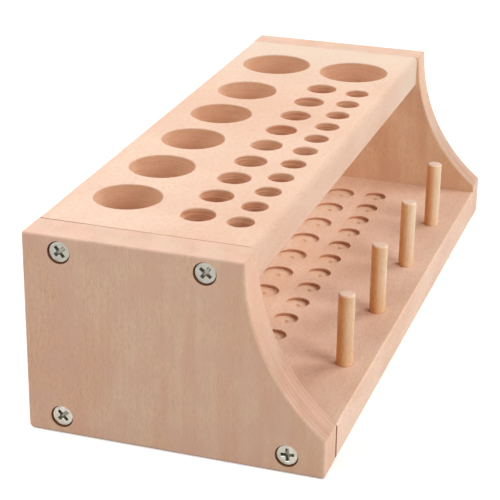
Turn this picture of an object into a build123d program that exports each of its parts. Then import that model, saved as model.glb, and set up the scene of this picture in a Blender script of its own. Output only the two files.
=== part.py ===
# Bench-top tool holder in solid beech: a drilled top board and a base board held between two
# curved end panels by countersunk screws, with a row of dowel pegs along the front of the base.
# X runs along the length, +Y is the back, +Z is up. The origin is the middle of the footprint,
# on the surface that the holder stands on. Sizes are in millimetres.

import os

from build123d import *

os.makedirs("parts", exist_ok=True)

# Overall form
length = 340.0
height = 96.5
base_depth = 140.0
front_cutaway = 37.4
left_panel_thickness = 18.0
right_panel_thickness = 16.2
board_thickness = 17.0
top_board_setback = 1.2

# How far the front of each panel rises above the base. The two were sawn one at a time, so the
# right one is thinner and its curve ends a little higher.
left_panel_front_rise = 1.6
right_panel_front_rise = 3.8

# Sanded edges
left_panel_outer_edge_radius = 1.0
right_panel_outer_edge_radius = 1.8
panel_inner_edge_radius = 0.8
panel_back_foot_radius = 2.2
panel_front_foot_radius = 0.9
panel_curve_end_radius = 2.2
panel_top_corner_radius = 0.6
board_edge_radius = 1.2
top_board_nose_radius = 2.6
base_end_radius = 0.3
hole_rim_chamfer = 0.35
hole_rim_angle = 90.0

# The left ends of the boards are sawn a little out of square. This leaves a gap at the back of
# the upper joint and one at the front of the lower joint, each closing over the run given.
upper_joint_gap = 0.4
upper_joint_gap_run = 50.0
lower_joint_gap = 1.6
lower_joint_gap_run = 45.0
joint_cut_overshoot = 1.0

# Tool holes in the top board. Margins run from the ends of the board and lines from its back
# edge to hole centres. Each row stops short of the pair of wide holes at the right end.
small_hole_radius = 6.25
small_hole_margin = 25.6
small_hole_pitch = 20.0
small_hole_line = 86.2

medium_hole_radius = 8.0
medium_hole_margin = 27.4
medium_hole_pitch = 25.0
medium_hole_line = 65.5

large_hole_radius = 16.0
large_hole_margin = 37.3
large_hole_pitch = 43.3
large_hole_line = 27.7

wide_hole_radius = 19.25
wide_hole_margin = 41.6
wide_hole_front_line = 73.8
least_wood_between_holes = 5.0

# Drill marks in the base that catch the tips of the tools. Depths are at the centre, and each mark
# is a little deeper towards the front, because the drill leaned.
small_mark_depth = 1.8
medium_mark_depth = 1.6
mark_lean_angle = 4.0
mark_cut_overshoot = 3.0
drill_point_radius = 1.8
drill_point_depth = 0.9
drill_tip_radius = 0.1

# Pegs, each with a foot turned a little thinner, in blind holes that leave this much wood under
peg_radius = 4.0
peg_foot_reduction = 0.2
peg_count = 4
peg_left_margin = 60.0
peg_right_margin = 58.3
peg_front_line = 12.9
peg_standing_height = 36.3
peg_floor_thickness = 6.0
peg_tip_chamfer = 0.6
peg_fit_clearance = 0.05
peg_hole_chamfer = 0.4

# Countersunk cross-recess wood screws, 5 x 30, which end in the wood short of the tool holes
screw_length = 30.0
screw_shank_radius = 2.5
screw_head_radius = 4.85
screw_rim_height = 0.5
screw_rim_rounding = 0.2
screw_point_length = 5.0
screw_tip_radius = 0.3
screw_head_sink = 1.15
screw_fit_clearance = 0.1
pilot_hole_run_out = 0.5
countersink_margin = 0.55
recess_rim = 1.75
recess_wing_width = 1.6
recess_well_radius = 1.45
recess_depth = 1.9
recess_taper = 10.0
recess_edge_chamfer = 0.15

# Screw centres: the upper row from the top face and the lower row from the underside
upper_screw_inset = 7.5
lower_screw_inset = 8.3
upper_back_screw_line = 17.4
upper_front_screw_line = 84.8
lower_back_screw_line = 16.4
lower_front_screw_line = 122.7

front = -base_depth / 2
back = base_depth / 2
panel_top_front = front + front_cutaway
top_board_front = panel_top_front + top_board_setback
board_left = -length / 2 + left_panel_thickness
board_right = length / 2 - right_panel_thickness
board_length = board_right - board_left
top_board_underside = height - board_thickness
wide_hole_x = board_right - wide_hole_margin
row_limit = wide_hole_x - wide_hole_radius - least_wood_between_holes


def row_of_holes(margin, pitch, radius, line):
    # Centres from the left end of the board up to the last one that clears the wide holes
    first = board_left + margin
    steps = int((row_limit - radius - first) / pitch)
    return [(first + pitch * step, back - line) for step in range(steps + 1)]


def turned_end_for_end(spots):
    return [(-x, y) for x, y in spots]


def skewed_saw_cut(edge, inwards, gap, run):
    # What the saw took off the left end of a board too much: this gap at the edge at y, closing
    # to nothing at this run from it, with inwards -1 from the back edge and +1 from the front
    Polyline(
        (board_left - joint_cut_overshoot, edge - inwards * joint_cut_overshoot),
        (board_left + gap, edge - inwards * joint_cut_overshoot),
        (board_left + gap, edge),
        (board_left, edge + inwards * run),
        (board_left - joint_cut_overshoot, edge + inwards * run),
        close=True,
    )


small_holes = row_of_holes(small_hole_margin, small_hole_pitch, small_hole_radius, small_hole_line)
medium_holes = row_of_holes(medium_hole_margin, medium_hole_pitch, medium_hole_radius, medium_hole_line)
large_holes = row_of_holes(large_hole_margin, large_hole_pitch, large_hole_radius, large_hole_line)
wide_holes = [(wide_hole_x, back - large_hole_line), (wide_hole_x, back - wide_hole_front_line)]

peg_foot_radius = peg_radius - peg_foot_reduction
peg_pitch = (board_length - peg_left_margin - peg_right_margin) / (peg_count - 1)
peg_y = front + peg_front_line
peg_spots = [(board_left + peg_left_margin + peg_pitch * step, peg_y) for step in range(peg_count)]

# Each screw: name, distance from the back, height of its centre, turn of its cross in degrees
upper_screws = [
    ("upper_back", upper_back_screw_line, height - upper_screw_inset, 40.0),
    ("upper_front", upper_front_screw_line, height - upper_screw_inset, 52.0),
]
lower_screws = [
    ("lower_back", lower_back_screw_line, lower_screw_inset, 45.0),
    ("lower_front", lower_front_screw_line, lower_screw_inset, 4.0),
]

# Each end: side, name, thickness of its panel, rise of the front and radius of the outer edges
ends = (
    (-1, "left", left_panel_thickness, left_panel_front_rise, left_panel_outer_edge_radius),
    (1, "right", right_panel_thickness, right_panel_front_rise, right_panel_outer_edge_radius),
)

# Along a screw, from the outer face of the panel inwards
screw_tip_depth = screw_head_sink + screw_length
screw_bore_depth = screw_tip_depth + pilot_hole_run_out
screw_cone_start = screw_head_sink + screw_rim_height
screw_shank_start = screw_cone_start + screw_head_radius - screw_shank_radius
screw_point_start = screw_tip_depth - screw_point_length
screw_hole_radius = screw_shank_radius + screw_fit_clearance
countersink_radius = screw_head_radius + countersink_margin
countersink_cone_height = countersink_radius - screw_hole_radius
recess_span = 2 * (screw_head_radius - recess_rim)
hanging = (Align.CENTER, Align.CENTER, Align.MAX)
standing = (Align.CENTER, Align.CENTER, Align.MIN)


def screw_plane(side, from_back, level, depth):
    # Faces out of the left (-1) or right (+1) end, centred on one screw, this deep in the panel
    x = side * (length / 2 - depth)
    return Plane(origin=(x, back - from_back, level), x_dir=(0, 1, 0), z_dir=(side, 0, 0))


# Top board, with the through holes that hold the tools. Its end edges stay sharp, because it is
# sanded flush with the end panels.
with BuildPart() as top_board:
    with BuildSketch(Plane.XY.offset(top_board_underside)) as top_outline:
        with Locations((board_left, top_board_front)):
            Rectangle(board_length, back - top_board_front, align=(Align.MIN, Align.MIN))
    extrude(amount=board_thickness)
    nose = top_board.edges().filter_by(Axis.X).group_by(Axis.Z)[-1].sort_by(Axis.Y)[0]
    fillet(nose, top_board_nose_radius)
    underside_edges = top_board.edges().filter_by(Axis.X).group_by(Axis.Z)[0]
    back_edge = top_board.edges().filter_by(Axis.X).group_by(Axis.Z)[-1].sort_by(Axis.Y)[-1]
    fillet(underside_edges + [back_edge], board_edge_radius)
    with BuildSketch(Plane.XY.offset(top_board_underside)):
        with BuildLine():
            skewed_saw_cut(back, -1, upper_joint_gap, upper_joint_gap_run)
        make_face()
    extrude(amount=board_thickness, mode=Mode.SUBTRACT)
    for spots, radius in (
        (small_holes, small_hole_radius),
        (medium_holes, medium_hole_radius),
        (large_holes, large_hole_radius),
        (wide_holes, wide_hole_radius),
    ):
        for x, y in spots:
            with Locations((x, y, height)):
                CounterSinkHole(radius, radius + hole_rim_chamfer, board_thickness, hole_rim_angle)
    for side, side_name, thickness, rise, edge_radius in ends:
        for name, from_back, level, turn in upper_screws:
            with BuildSketch(screw_plane(side, from_back, level, thickness)):
                Circle(screw_hole_radius)
            extrude(amount=thickness - screw_bore_depth, mode=Mode.SUBTRACT)

top_board.part.label = "top_board"
export_step(top_board.part, "parts/top_board.step")

# Base board, with shallow drill marks and blind holes for the pegs. The marks are the small and
# medium rows of the top board turned end for end.
with BuildPart() as base_board:
    with BuildSketch(Plane.XY) as base_outline:
        with Locations((board_left, front)):
            Rectangle(board_length, base_depth, align=(Align.MIN, Align.MIN))
    extrude(amount=board_thickness)
    fillet(base_board.edges().filter_by(Axis.X), board_edge_radius)
    board_ends = base_board.faces().filter_by(Axis.X)
    fillet(board_ends.edges(), base_end_radius)
    with BuildSketch(Plane.XY):
        with BuildLine():
            skewed_saw_cut(front, 1, lower_joint_gap, lower_joint_gap_run)
        make_face()
    extrude(amount=board_thickness, mode=Mode.SUBTRACT)
    for spots, radius, depth in (
        (turned_end_for_end(small_holes), small_hole_radius, small_mark_depth),
        (turned_end_for_end(medium_holes), medium_hole_radius, medium_mark_depth),
    ):
        for x, y in spots:
            with Locations(Location((x, y, board_thickness - depth), (mark_lean_angle, 0, 0))):
                Cylinder(radius, depth + mark_cut_overshoot, align=standing, mode=Mode.SUBTRACT)
                Cone(drill_tip_radius, drill_point_radius, drill_point_depth,
                     align=hanging, mode=Mode.SUBTRACT)
    peg_hole_radius = peg_foot_radius + peg_fit_clearance
    for x, y in peg_spots:
        with Locations((x, y, board_thickness)):
            CounterSinkHole(peg_hole_radius, peg_hole_radius + peg_hole_chamfer,
                            board_thickness - peg_floor_thickness, hole_rim_angle)
    for side, side_name, thickness, rise, edge_radius in ends:
        for name, from_back, level, turn in lower_screws:
            with BuildSketch(screw_plane(side, from_back, level, thickness)):
                Circle(screw_hole_radius)
            extrude(amount=thickness - screw_bore_depth, mode=Mode.SUBTRACT)

base_board.part.label = "base_board"
export_step(base_board.part, "parts/base_board.step")

# Pegs, glued into the base
for number, peg_spot in enumerate(peg_spots, start=1):
    with BuildPart() as peg:
        with BuildSketch(Plane.XY.offset(peg_floor_thickness)) as foot_outline:
            with Locations(peg_spot):
                Circle(peg_foot_radius)
        extrude(amount=board_thickness - peg_floor_thickness)
        with BuildSketch(Plane.XY.offset(board_thickness)) as free_outline:
            with Locations(peg_spot):
                Circle(peg_radius)
        extrude(amount=peg_standing_height)
        rims = peg.edges().filter_by(GeomType.CIRCLE).sort_by(Axis.Z)
        chamfer((rims[0], rims[-1]), peg_tip_chamfer)
    peg.part.label = "peg_" + str(number)
    export_step(peg.part, "parts/peg_" + str(number) + ".step")

# End panels: square at the back, cut away in front by one arc that starts upright at the top
for side, side_name, thickness, rise, edge_radius in ends:
    panel_front_height = board_thickness + rise
    with BuildPart() as panel:
        with BuildSketch(Plane.YZ.offset(side * length / 2)) as profile:
            with BuildLine() as outline:
                Polyline(
                    (front, panel_front_height),
                    (front, 0),
                    (back, 0),
                    (back, height),
                    (panel_top_front, height),
                )
                TangentArc(
                    (panel_top_front, height),
                    (front, panel_front_height),
                    tangent=(0, -1),
                )
            make_face()
        extrude(amount=-side * thickness)
        corners = panel.edges().filter_by(Axis.X).group_by(Axis.Z)
        feet = corners[0].sort_by(Axis.Y)
        fillet(feet[0], panel_front_foot_radius)
        fillet(feet[-1], panel_back_foot_radius)
        fillet(corners[1], panel_curve_end_radius)
        outer_face = panel.faces().filter_by(Axis.X).sort_by_distance((0, 0, 0))[-1]
        fillet(outer_face.edges(), edge_radius)
        # The top edge beside the top board stays sharp, because the two are sanded flush
        inner_face = panel.faces().filter_by(Axis.X).sort_by_distance((0, 0, 0))[0]
        fillet(inner_face.edges().sort_by(Axis.Z)[:-1], panel_inner_edge_radius)
        top_corners = panel.edges().filter_by(Axis.X).group_by(Axis.Z)[-1]
        fillet(top_corners, panel_top_corner_radius)
        for name, from_back, level, turn in upper_screws + lower_screws:
            with BuildSketch(screw_plane(side, from_back, level, 0)):
                Circle(screw_hole_radius)
            extrude(amount=-thickness, mode=Mode.SUBTRACT)
            with BuildSketch(screw_plane(side, from_back, level, 0)):
                Circle(countersink_radius)
            extrude(amount=-screw_cone_start, mode=Mode.SUBTRACT)
            with Locations(screw_plane(side, from_back, level, screw_cone_start)):
                Cone(screw_hole_radius, countersink_radius, countersink_cone_height,
                     align=hanging, mode=Mode.SUBTRACT)
    panel.part.label = side_name + "_panel"
    export_step(panel.part, "parts/" + side_name + "_panel.step")

# Screws, with their heads just under the outer faces of the panels
for side, side_name, thickness, rise, edge_radius in ends:
    for name, from_back, level, turn in upper_screws + lower_screws:
        with BuildPart() as screw:
            with Locations(screw_plane(side, from_back, level, screw_head_sink)):
                Cylinder(screw_head_radius, screw_rim_height, align=hanging)
            head_face = screw.faces().filter_by(Axis.X).sort_by_distance((0, 0, 0))[-1]
            fillet(head_face.edges(), screw_rim_rounding)
            with Locations(screw_plane(side, from_back, level, screw_cone_start)):
                Cone(screw_shank_radius, screw_head_radius, screw_shank_start - screw_cone_start,
                     align=hanging)
            with Locations(screw_plane(side, from_back, level, screw_shank_start)):
                Cylinder(screw_shank_radius, screw_point_start - screw_shank_start, align=hanging)
            with Locations(screw_plane(side, from_back, level, screw_point_start)):
                Cone(screw_tip_radius, screw_shank_radius, screw_point_length, align=hanging)
            with BuildSketch(screw_plane(side, from_back, level, screw_head_sink)) as recess:
                Rectangle(recess_span, recess_wing_width, rotation=turn)
                Rectangle(recess_wing_width, recess_span, rotation=turn)
                Circle(recess_well_radius)
            extrude(amount=-recess_depth, taper=recess_taper, mode=Mode.SUBTRACT)
            head_face = screw.faces().filter_by(Axis.X).sort_by_distance((0, 0, 0))[-1]
            chamfer(head_face.inner_wires()[0].edges(), recess_edge_chamfer)
        screw.part.label = "screw_" + side_name + "_" + name
        export_step(screw.part, "parts/screw_" + side_name + "_" + name + ".step")
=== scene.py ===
# A bench-top tool holder: a drilled beech top board and a beech base held between two curved
# beech end panels by countersunk zinc-plated screws, with four turned birch pegs in the base.
# The wood is sanded and left without varnish, on a white studio sweep. The kinds of wood and
# plating are judged from the photograph, and the colours are matched to it under this light.
import math
import random

import bpy
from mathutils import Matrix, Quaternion, Vector


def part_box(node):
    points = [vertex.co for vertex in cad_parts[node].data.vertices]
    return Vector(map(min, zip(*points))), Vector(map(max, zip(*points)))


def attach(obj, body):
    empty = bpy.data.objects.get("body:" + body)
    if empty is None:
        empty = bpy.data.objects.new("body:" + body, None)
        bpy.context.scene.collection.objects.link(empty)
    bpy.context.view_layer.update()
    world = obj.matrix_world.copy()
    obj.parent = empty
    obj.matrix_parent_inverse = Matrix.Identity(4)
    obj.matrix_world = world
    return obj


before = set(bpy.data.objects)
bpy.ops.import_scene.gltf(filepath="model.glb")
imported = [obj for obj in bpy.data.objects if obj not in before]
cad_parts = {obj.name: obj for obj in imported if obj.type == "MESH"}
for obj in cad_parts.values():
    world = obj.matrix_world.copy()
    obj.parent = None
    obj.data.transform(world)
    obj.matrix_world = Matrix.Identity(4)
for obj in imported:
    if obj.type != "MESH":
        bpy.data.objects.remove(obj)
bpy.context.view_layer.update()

# Top board
# A flat-sawn plank of pinkish beech, planed, drilled through from above and sanded. It is
# screwed between the end panels, which are sanded flush with it.
mm = 0.001


def linear(hex_colour):
    # An sRGB colour such as "#f5d0b5" as the linear values that a shader takes
    def channel(text):
        value = int(text, 16) / 255
        return value / 12.92 if value <= 0.04045 else ((value + 0.055) / 1.055) ** 2.4
    return (*(channel(hex_colour[start:start + 2]) for start in (1, 3, 5)), 1.0)


def add(tree, kind, inputs, **settings):
    # One shader node with its settings. An input is a number, a colour, a socket or a whole node
    node = tree.nodes.new("ShaderNode" + kind)
    for name, value in settings.items():
        setattr(node, name, value)
    for name, value in inputs.items():
        if isinstance(name, str):
            socket = next(s for s in node.inputs if s.name == name and s.enabled)
        else:
            socket = node.inputs[name]
        if isinstance(value, bpy.types.Node):
            value = next(s for s in value.outputs if s.enabled)
        if isinstance(value, bpy.types.NodeSocket):
            tree.links.new(value, socket)
        else:
            socket.default_value = value
    return node


def place_of(tree):
    # The place on the piece, in metres
    return add(tree, "TexCoord", {}).outputs["Object"]


def facing_of(tree):
    # The X, Y and Z of the way that the surface faces
    return add(tree, "SeparateXYZ", {"Vector": add(tree, "TexCoord", {}).outputs["Normal"]}).outputs


def in_cells(tree, place, cell):
    # The place counted in cells of this size, in the unit of the place
    return add(tree, "VectorMath", {0: place, 1: tuple(1 / side for side in cell)},
               operation="MULTIPLY")


def noise(tree, place, cell, detail=2.0):
    # Soft noise with features about as large as a cell
    return add(tree, "TexNoise", {"Vector": in_cells(tree, place, cell), "Scale": 1.0,
                                  "Detail": detail})


def share(tree, value, low, high, most=1.0, least=0.0):
    # From least to most as the value goes from low to high, with soft ends
    return add(tree, "MapRange", {"Value": value, "From Min": low, "From Max": high,
                                  "To Min": least, "To Max": most},
               interpolation_type="SMOOTHSTEP")


def tint(tree, colour, part, other, blend="MIX"):
    return add(tree, "Mix", {"Factor": part, "A": colour, "B": other}, data_type="RGBA",
               blend_type=blend)


def sawn_wood(tree, along, heart):
    # Position in the tree that the piece was sawn from, in millimetres: round the growth rings,
    # out from the heart, and along the grain. The rings wander a little, as they do in a trunk.
    spot = add(tree, "SeparateXYZ", {"Vector": place_of(tree)}).outputs
    across = []
    for axis, centre in zip([axis for axis in "XYZ" if axis != along], heart):
        across.append(add(tree, "Math", {0: spot[axis], 1: 1 / mm, 2: -centre},
                          operation="MULTIPLY_ADD"))
    length = add(tree, "Math", {0: spot[along], 1: 1 / mm}, operation="MULTIPLY")
    straight = add(tree, "CombineXYZ", {"X": across[0], "Y": across[1], "Z": length})
    wander = noise(tree, straight, cell=(26, 26, 170), detail=1.0)
    most_wander = 5.0
    flat = add(tree, "CombineXYZ", {"X": across[0], "Y": across[1]})
    out = add(tree, "VectorMath", {0: flat}, operation="LENGTH")
    ring = add(tree, "Math", {0: wander, 1: most_wander, 2: out}, operation="MULTIPLY_ADD")
    turn = add(tree, "Math", {0: across[0], 1: across[1]}, operation="ARCTAN2")
    round_rings = add(tree, "Math", {0: turn, 1: math.hypot(*heart)}, operation="MULTIPLY")
    return add(tree, "CombineXYZ", {"X": round_rings, "Y": ring, "Z": length})


def beech(tree, along, heart, pale, brown, fleck, end_grain, ring_width=2.6, rings_show=0.055,
          fibres_show=0.32, rays_show=0.26):
    # Colour and height of planed and sanded beech: soft bands of colour, faint growth rings,
    # fine fibres along the grain, and the short dark flecks that beech is known by. Sizes are in
    # millimetres: round the rings, across them and along the grain.
    wood = sawn_wood(tree, along, heart)
    bands = noise(tree, wood, cell=(26, 17, 50))
    colour = tint(tree, pale, share(tree, bands, low=0.32, high=0.68), brown)

    # A ring darkens slowly through the summer and ends sharply
    out_from_heart = add(tree, "SeparateXYZ", {"Vector": wood}).outputs["Y"]
    rings = add(tree, "Math", {0: out_from_heart, 1: ring_width}, operation="DIVIDE")
    season = add(tree, "Math", {0: rings}, operation="FRACT")
    colour = tint(tree, colour, share(tree, season, low=0.25, high=0.97, most=rings_show), fleck)

    # Fibres are about 0.02 mm thick, drawn as streaks 0.6 mm wide so that they show
    fibres = noise(tree, wood, cell=(0.6, 0.8, 3.0))
    colour = tint(tree, colour, share(tree, fibres, low=0.44, high=0.72, most=fibres_show), fleck)

    # Rays are sheets about 0.1 mm thick and 1 to 3 mm high, drawn 0.4 mm thick so that they show
    rays = add(tree, "TexVoronoi", {"Vector": in_cells(tree, wood, cell=(1.0, 4.5, 3.2)),
                                    "Scale": 1.0})
    ray_share = share(tree, rays.outputs["Distance"], low=0.12, high=0.30, most=0.0,
                      least=rays_show)
    colour = tint(tree, colour, ray_share, fleck)

    # Cut across, the fibres drink in the light
    across_grain = add(tree, "Math", {0: facing_of(tree)[along]}, operation="ABSOLUTE")
    colour = tint(tree, colour, share(tree, across_grain, low=0.08, high=0.50), end_grain,
                  "MULTIPLY")

    # The fibres stand up a little after sanding, and the rays sink
    ray_height = -0.8
    height = add(tree, "Math", {0: ray_share, 1: ray_height, 2: fibres}, operation="MULTIPLY_ADD")
    return colour, height


def raw_wood_surface(tree, colour, height, dull=0.62):
    # Sanded wood with no varnish: dull all over, a little smoother where the fibres lie closer
    fibre_depth, smoother = 0.05 * mm, 0.12
    bump = add(tree, "Bump", {"Height": height, "Strength": 0.6, "Distance": fibre_depth})
    roughness = share(tree, height, low=0.3, high=0.7, most=dull, least=dull - smoother)
    surface = add(tree, "BsdfPrincipled", {"Base Color": colour, "Roughness": roughness,
                                           "IOR": 1.53, "Normal": bump})
    add(tree, "OutputMaterial", {"Surface": surface})


def new_material(name):
    material = bpy.data.materials.new(name)
    material.use_nodes = True
    material.node_tree.nodes.clear()
    return material, material.node_tree


def finish(node, material):
    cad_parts[node].material_slots[0].material = material


def walls_inside(tree, low, high):
    # 1 on upright surfaces that lie inside the box of a board, such as the walls of its holes
    margin, upright = 0.6 * mm, 0.6
    spot = add(tree, "SeparateXYZ", {"Vector": place_of(tree)}).outputs
    inside = add(tree, "Math", {0: facing_of(tree)["Z"], 1: 0.0, 2: upright}, operation="COMPARE")
    for axis, start, end in zip("XYZ", low, high):
        here = add(tree, "Math", {0: spot[axis], 1: (start + end) / 2,
                                  2: (end - start) / 2 - margin}, operation="COMPARE")
        inside = add(tree, "Math", {0: inside, 1: here}, operation="MULTIPLY")
    outside = add(tree, "Math", {0: 1.0, 1: inside}, operation="SUBTRACT")
    return inside, outside, spot


# Beech under fine sandpaper: soft pink bands with short flecks and a dull, slightly downy face
beech_board, tree = new_material("beech_sanded_board")
colour, height = beech(
    tree, "X", heart=(18.0, 20.0), pale=linear("#dfbca3"), brown=linear("#d8b095"),
    fleck=linear("#cb9c80"), end_grain=linear("#f0e8e0"), fibres_show=0.24, rays_show=0.20)

# The faces are painted paler towards the right end as painted light, and the walls of the holes
# a little warmer and darker as painted shade. Both tints were matched to the photograph, where
# light may cause part of them.
in_hole, on_face, spot = walls_inside(tree, *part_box("top_board"))
painted_light_end = share(tree, spot["X"], low=0.06, high=0.15, most=0.75)
paler = add(tree, "Math", {0: on_face, 1: painted_light_end}, operation="MULTIPLY")
colour = tint(tree, colour, paler, linear("#dcc5b0"))
colour = tint(tree, colour, in_hole, linear("#fffaf3"), "MULTIPLY")

# The bits left fine ridges round the walls, about 0.7 mm apart, which show more in the two front
# rows than in the large holes and at the right end.
ridges = noise(tree, place_of(tree), cell=(16.667 * mm, 16.667 * mm, 0.6667 * mm))
front_rows = share(tree, spot["Y"], low=0.012, high=0.020, most=0.18, least=0.72)
left_of_wide = share(tree, spot["X"], low=0.090, high=0.096, most=0.35, least=1.0)
rough_cut = add(tree, "Math", {0: in_hole, 1: front_rows}, operation="MULTIPLY")
rough_cut = add(tree, "Math", {0: rough_cut, 1: left_of_wide}, operation="MULTIPLY")
ridge_share = add(tree, "Math", {0: rough_cut, 1: share(tree, ridges, low=0.42, high=0.62)},
                  operation="MULTIPLY")
colour = tint(tree, colour, ridge_share, linear("#e3bba6"), "MULTIPLY")
ridge_height = -1.5
height = add(tree, "Math", {0: ridge_share, 1: ridge_height, 2: height},
             operation="MULTIPLY_ADD")
raw_wood_surface(tree, colour, height)
finish("top_board", beech_board)

# Base board
# The same beech, planed and sanded, with shallow marks started by the drill and never run
# through, so their floors keep the rings of the bit and their walls are torn where it cut
# along the grain.
base_low, base_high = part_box("base_board")
mark_rows = (
    # In metres: first centre at the right, pitch, line, radius and depth. Then the count.
    (0.1264, 0.0200, -0.0162, 0.00625, 0.0018, 11),
    (0.1246, 0.0250, 0.0045, 0.0080, 0.0016, 9),
)
base_fleck = linear("#b98464")

# Beech under fine sandpaper, drawn paler than the top to match the photograph in the shade of
# the shelf, so the real plank may be no paler
beech_base, tree = new_material("beech_sanded_base")
colour, height = beech(
    tree, "X", heart=(-30.0, -64.0), pale=linear("#f0ceb6"), brown=linear("#e7bfa4"),
    fleck=base_fleck, end_grain=linear("#e4cdbd"), fibres_show=0.22, rays_show=0.16)
in_mark, on_floor, spot = walls_inside(tree, base_low, base_high)
# The walls of the marks are painted darker in patches, partly torn wood and partly painted shade
torn = noise(tree, place_of(tree), cell=3 * (1.111 * mm,))
wall_shade_and_tear = add(tree, "Math", {0: in_mark, 1: share(tree, torn, low=0.30, high=0.70, least=0.55)},
                 operation="MULTIPLY")
colour = tint(tree, colour, wall_shade_and_tear, linear("#dcc2b0"), "MULTIPLY")

# The floors of the marks are a little yellower than the planed face. The bit cut rings in them,
# 0.7 mm apart round the nearest centre in the row, with painted shade where its point ends.
middle_depth, half_range = 2.2 * mm, 1.7 * mm
ring_spacing = 0.7 * mm
yellow_share, ring_height = 0.22, -2.0
deep = add(tree, "Math", {0: spot["Z"], 1: base_high.z - middle_depth, 2: half_range},
           operation="COMPARE")
for start, pitch, line, radius, *_ in mark_rows:
    shifted = add(tree, "Math", {0: spot["X"], 1: start}, operation="SUBTRACT")
    off_centre = add(tree, "Math", {0: shifted, 1: pitch / 2, 2: -pitch / 2}, operation="WRAP")
    off_line = add(tree, "Math", {0: spot["Y"], 1: line}, operation="SUBTRACT")
    offset = add(tree, "CombineXYZ", {"X": off_centre, "Y": off_line})
    from_centre = add(tree, "VectorMath", {0: offset}, operation="LENGTH")
    within = add(tree, "Math", {0: from_centre, 1: radius}, operation="LESS_THAN")
    within = add(tree, "Math", {0: within, 1: deep}, operation="MULTIPLY")

    floor_share = add(tree, "Math", {0: on_floor, 1: yellow_share}, operation="MULTIPLY")
    floor_share = add(tree, "Math", {0: within, 1: floor_share}, operation="MULTIPLY")
    colour = tint(tree, colour, floor_share, linear("#ecca9f"))

    turns = add(tree, "Math", {0: from_centre, 1: math.tau / ring_spacing}, operation="MULTIPLY")
    wave = add(tree, "Math", {0: turns}, operation="SINE")
    wave_share = add(tree, "Math", {0: share(tree, wave, low=-0.2, high=1.0, most=0.30),
                                    1: within}, operation="MULTIPLY")
    colour = tint(tree, colour, wave_share, base_fleck)

    # Painted shade in the small hollow where the point of the bit ends
    point = share(tree, from_centre, low=0.9 * mm, high=2.2 * mm, most=0.0, least=0.25)
    point_shade = add(tree, "Math", {0: point, 1: within}, operation="MULTIPLY")
    colour = tint(tree, colour, point_shade, base_fleck)
    height = add(tree, "Math", {0: wave_share, 1: ring_height, 2: height},
                 operation="MULTIPLY_ADD")
raw_wood_surface(tree, colour, height)
finish("base_board", beech_base)

# Fibres that the bit tore loose, each bent and tapered, rooted in the walls that face along the
# grain. The marks at the left end are torn the most.
seeded = random.Random(11)
tears_each, tears_roughest, roughest_marks = 7, 16, 5
fibre_rings = (
    # Way from the root to the tip, width there, and how far the fibre sags
    (-0.3, 1.0, 0.0),
    (0.45, 0.7, 0.05 * mm),
)
tip_sag = 0.18 * mm
corners, faces = [], []
for start, pitch, line, radius, depth, count in mark_rows:
    for step in range(count):
        tears = tears_roughest if step >= count - roughest_marks else tears_each
        for tear in range(tears):
            side = seeded.choice((-1, 1))
            swing = seeded.uniform(-1.0, 1.0)
            root = Vector((start - pitch * step + side * radius * math.cos(swing),
                           line + radius * math.sin(swing),
                           base_high.z - depth * seeded.uniform(0.12, 0.7)))
            inwards = Vector((-side, seeded.uniform(-0.35, 0.35), seeded.uniform(-0.30, 0.12)))
            reach = seeded.uniform(0.5 * mm, 1.3 * mm)
            half_width = seeded.uniform(0.10 * mm, 0.22 * mm)
            first = len(corners)
            for travel, width, sag in fibre_rings:
                for turn in range(3):
                    angle = math.tau * turn / 3
                    off_axis = Vector((0, math.cos(angle), math.sin(angle))) * width * half_width
                    corners.append(root + inwards * reach * travel + off_axis
                                   - Vector((0, 0, sag)))
            corners.append(root + inwards * reach - Vector((0, 0, tip_sag)))
            fibre = [(first, first + 1, first + 2)]
            for turn in range(3):
                a, b = first + turn, first + (turn + 1) % 3
                fibre += [(b, a, a + 3, b + 3), (b + 3, a + 3, first + 6)]
            faces += fibre if side > 0 else [face[::-1] for face in fibre]
torn_mesh = bpy.data.meshes.new("torn_fibres")
torn_mesh.from_pydata(corners, [], faces)
torn_fibres = bpy.data.objects.new("torn_fibres", torn_mesh)
bpy.context.scene.collection.objects.link(torn_fibres)
torn_mesh.materials.append(beech_base)
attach(torn_fibres, "root")

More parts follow.
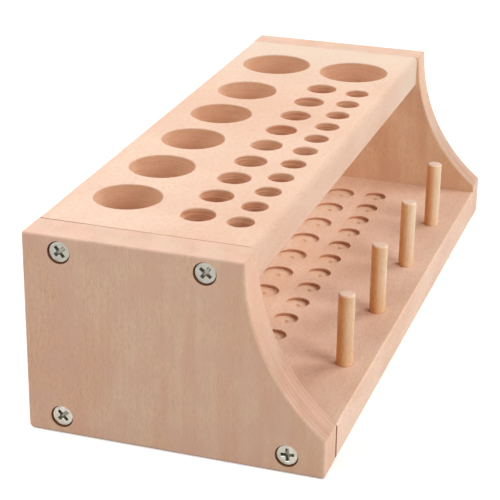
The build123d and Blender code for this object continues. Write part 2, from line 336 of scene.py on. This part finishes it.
# End panels
# Beech with its grain upright, sawn to the curve and sanded round it, then screwed to the ends
# of both boards. The curve cuts across the layers of the plank, which show as lines along it.
screw_spots = (
    # In metres, back to front: along the panel and up
    (0.0526, 0.0890),
    (-0.0148, 0.0890),
    (0.0536, 0.0083),
    (-0.0527, 0.0083),
)
countersink_radius, face_margin = 6.0 * mm, 0.2 * mm
for side, towards_shelf, heart, panel_pale, panel_brown in (
    # The right panel is painted paler than the left as painted light, which lifts its shaded inner
    # face
    ("left", 1.0, (-235.0, -48.0), linear("#e7c2a4"), linear("#e2b495")),
    ("right", -1.0, (240.0, -56.0), linear("#edcbb1"), linear("#e5bc9d")),
):
    # Beech under fine sandpaper, sawn far out from the heart, with its flecks standing upright
    low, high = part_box(side + "_panel")
    beech_panel, tree = new_material("beech_sanded_panel_" + side)
    colour, height = beech(
        tree, "Z", heart=heart, pale=panel_pale, brown=panel_brown,
        fleck=linear("#b98867"), end_grain=linear("#ecedf0"))

    # Pinker clouds, 10 to 20 mm across
    clouds = noise(tree, place_of(tree), cell=3 * (14.286 * mm,))
    colour = tint(tree, colour, share(tree, clouds, low=0.42, high=0.64, most=0.5),
                  linear("#ddaf99"))

    # The countersink walls are painted dark, painted shade that shows as crescents beside the heads
    spot = add(tree, "SeparateXYZ", {"Vector": place_of(tree)}).outputs
    along_face = add(tree, "CombineXYZ", {"Y": spot["Y"], "Z": spot["Z"]})
    inside = add(tree, "Math", {0: spot["X"], 1: (low.x + high.x) / 2,
                                2: (high.x - low.x) / 2 - face_margin}, operation="COMPARE")
    for screw_y, screw_z in screw_spots:
        away = add(tree, "VectorMath", {0: along_face, 1: (0.0, screw_y, screw_z)},
                   operation="DISTANCE")
        near = add(tree, "Math", {0: away, 1: countersink_radius}, operation="LESS_THAN")
        countersink_shade = add(tree, "Math", {0: near, 1: inside}, operation="MULTIPLY")
        colour = tint(tree, colour, countersink_shade, linear("#9c7960"), "MULTIPLY")

    # Towards the shelf, the face is painted a little yellower: painted shade warmed by bounced
    # light
    facing = facing_of(tree)
    shelf_face_bounce = add(tree, "Math", {0: facing["X"], 1: towards_shelf, 2: 0.2},
                     operation="COMPARE")
    colour = tint(tree, colour, shelf_face_bounce, linear("#fdf8ea"), "MULTIPLY")

    # The layers of the plank come out as lines about 1.2 mm apart along the lower half of the
    # curve, which faces forwards and up. That half is also painted darker all over, as painted
    # shade.
    forwards = share(tree, facing["Y"], low=-0.45, high=-0.15, most=0.0, least=1.0)
    upwards = share(tree, facing["Z"], low=0.10, high=0.55)
    lower_half = share(tree, spot["Z"], low=0.045, high=0.080, most=0.0, least=1.0)
    on_curve = add(tree, "Math", {0: forwards, 1: upwards}, operation="MULTIPLY")
    on_curve = add(tree, "Math", {0: lower_half, 1: on_curve}, operation="MULTIPLY")
    layers = noise(tree, place_of(tree), cell=(1.25 * mm, 45.455 * mm, 45.455 * mm), detail=3.0)
    layers_and_shade = add(tree, "Math", {0: share(tree, layers, low=0.40, high=0.68, least=0.35),
                                     1: on_curve}, operation="MULTIPLY")
    colour = tint(tree, colour, layers_and_shade, linear("#e8d6cb"), "MULTIPLY")
    layer_height = -0.7
    height = add(tree, "Math", {0: layers_and_shade, 1: layer_height, 2: height},
                 operation="MULTIPLY_ADD")
    raw_wood_surface(tree, colour, height)
    finish(side + "_panel", beech_panel)

# Pegs
# Birch dowel, turned smooth, chamfered at the top and glued into the base with the grain
# upright. Its grain is drawn like that of the beech, finer and yellower.
birch_peg, tree = new_material("birch_turned_dowel")
colour, height = beech(
    tree, "Z", heart=(60.0, -120.0), pale=linear("#f1d6b6"), brown=linear("#e5bc91"),
    fleck=linear("#b98355"), end_grain=linear("#ffffff"), ring_width=2.0,
    fibres_show=0.24, rays_show=0.12)

# The pegs are matched to the holder under this light: paler in front, and painted more orange
# towards the shelf as painted shade, warmed by light bounced from the wood round them. The pegs
# are matched to the photograph: paler in front and more orange towards the shelf. Light from the
# wood round them may cause part of that.
facing = facing_of(tree)
shelf_side_shade = share(tree, facing["Y"], low=-1.1, high=0.9)
colour = tint(tree, colour, shelf_side_shade, linear("#f8cb8e"), "MULTIPLY")

# The sawn tops are end grain, painted paler and pinker than the sides as painted light from above
lit_top = share(tree, facing["Z"], low=0.5, high=0.95, most=0.75)
colour = tint(tree, colour, lit_top, linear("#efd6c6"))
raw_wood_surface(tree, colour, height, dull=0.55)
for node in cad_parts:
    if node.startswith("peg_"):
        finish(node, birch_peg)

# Screws
# Steel wood screws, cold-headed, with a thin coat of zinc, so they are pale and slightly matt
# with soft clouds and a fine grit, with painted shade in the recess that the punch left.
zinc_screw, tree = new_material("zinc_plated_steel")
cloud = noise(tree, place_of(tree), cell=3 * (2.381 * mm,), detail=3.0)
plating = tint(tree, linear("#cecabf"), share(tree, cloud, low=0.35, high=0.65),
               linear("#b9b6aa"))
grit = noise(tree, place_of(tree), cell=3 * (0.4 * mm,))
plating = tint(tree, plating, share(tree, grit, low=0.45, high=0.75, most=0.35),
               linear("#95938a"))

# Painted shade darkens the recess with its depth, from 1.4 mm to 2.8 mm below the panel's outer
# face
spot = add(tree, "SeparateXYZ", {"Vector": place_of(tree)}).outputs
from_middle = add(tree, "Math", {0: spot["X"]}, operation="ABSOLUTE")
recess_shade = share(tree, from_middle, low=0.1672, high=0.1686, most=0.0, least=0.75)
plating = tint(tree, plating, recess_shade, linear("#7f7d72"))

# The upper screws look duller than the lower ones in the photograph
upper_darker = share(tree, spot["Z"], low=0.03, high=0.07, most=0.75)
plating = tint(tree, plating, upper_darker, linear("#a29f95"))
grit_depth = 0.05 * mm
bump = add(tree, "Bump", {"Height": grit, "Strength": 0.5, "Distance": grit_depth})
roughness = share(tree, cloud, low=0.3, high=0.7, most=0.46, least=0.34)
surface = add(tree, "BsdfPrincipled", {"Base Color": plating, "Metallic": 1.0,
                                       "Roughness": roughness, "Normal": bump})
add(tree, "OutputMaterial", {"Surface": surface})
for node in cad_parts:
    if node.startswith("screw_"):
        finish(node, zinc_screw)

# Studio
# A white sweep, a broad soft box above the back edge with weaker ones behind the right end and
# at the left end, and two in front that light the shelf.


def seen_directly(tree):
    # 1 for the rays that show the floor or the sky itself, also in a reflection
    ray_kind = add(tree, "LightPath", {}).outputs
    seen = add(tree, "Math", {0: ray_kind["Is Camera Ray"], 1: ray_kind["Is Glossy Ray"]},
               operation="MAXIMUM")
    return add(tree, "Math", {0: seen, 1: ray_kind["Is Transmission Ray"]}, operation="MAXIMUM")


floor_mesh = bpy.data.meshes.new("floor")
floor_half, floor_gap = 3.0, 0.2 * mm
floor_mesh.from_pydata([(-floor_half, -floor_half, 0), (floor_half, -floor_half, 0),
                        (floor_half, floor_half, 0), (-floor_half, floor_half, 0)],
                       [], [(0, 1, 2, 3)])
floor = bpy.data.objects.new("floor", floor_mesh)
bpy.context.scene.collection.objects.link(floor)
floor.location.z = -floor_gap

# Paper that is lit up to white where it is seen, and throws less light back at the holder
white_floor, tree = new_material("white_floor")
glow = add(tree, "Emission", {"Color": linear("#ffffff"), "Strength": 0.3})
paper = add(tree, "BsdfDiffuse", {"Color": linear("#f2f2f2")})
lit_paper = add(tree, "AddShader", {0: paper, 1: glow})
dim_paper = add(tree, "BsdfDiffuse", {"Color": linear("#b4b4b4")})
shade = add(tree, "MixShader", {0: seen_directly(tree), 1: dim_paper, 2: lit_paper})
add(tree, "OutputMaterial", {"Surface": shade})
floor_mesh.materials.append(white_floor)

world = bpy.data.worlds.new("studio")
bpy.context.scene.world = world
world.use_nodes = True
tree = world.node_tree
tree.nodes.clear()
room = add(tree, "Background", {"Color": linear("#ffffff"), "Strength": 0.08})
white = add(tree, "Background", {"Color": linear("#ffffff"), "Strength": 1.0})
shade = add(tree, "MixShader", {0: seen_directly(tree), 1: room, 2: white})
add(tree, "OutputWorld", {"Surface": shade})

centre = Vector((0.0, 0.0, 0.05))
for name, place, size, watts in (
    ("back_left", (-0.15, 0.95, 1.05), 0.9, 9.9),
    ("back_right", (0.9, 0.8, 0.9), 0.6, 6.5),
    ("front_left", (-0.40, -1.05, 0.60), 0.6, 9.0),
    ("front_right", (0.50, -0.62, 0.75), 0.6, 5.0),
    ("left", (-1.2, 0.5, 0.85), 0.8, 6.8),
):
    lamp = bpy.data.lights.new(name, "AREA")
    lamp.shape = "SQUARE"
    lamp.size = size
    lamp.energy = watts
    lamp_object = bpy.data.objects.new(name, lamp)
    bpy.context.scene.collection.objects.link(lamp_object)
    lamp_object.location = place
    lamp_object.rotation_euler = (centre - Vector(place)).to_track_quat("-Z", "Y").to_euler()

# The photograph was taken from in front of the left end and above it, with a long lens
azimuth = math.radians(71.968)
elevation = math.radians(22.953)
roll = math.radians(0.762)
focal_px, frame_px, sensor_mm = 1651.7, 500, 36.0
camera_data = bpy.data.cameras.new("camera")
camera_data.sensor_width = sensor_mm
camera_data.lens = focal_px / frame_px * sensor_mm
camera_data.clip_end = 20.0
camera = bpy.data.objects.new("camera", camera_data)
bpy.context.scene.collection.objects.link(camera)
camera.location = (-0.7701, -0.2302, 0.3703)
view = Vector((math.sin(azimuth) * math.cos(elevation), math.cos(azimuth) * math.cos(elevation),
               -math.sin(elevation)))
camera.rotation_mode = "QUATERNION"
camera.rotation_quaternion = view.to_track_quat("-Z", "Y") @ Quaternion((0, 0, 1), roll)
bpy.context.scene.camera = camera
bpy.context.scene.view_settings.view_transform = "Standard"
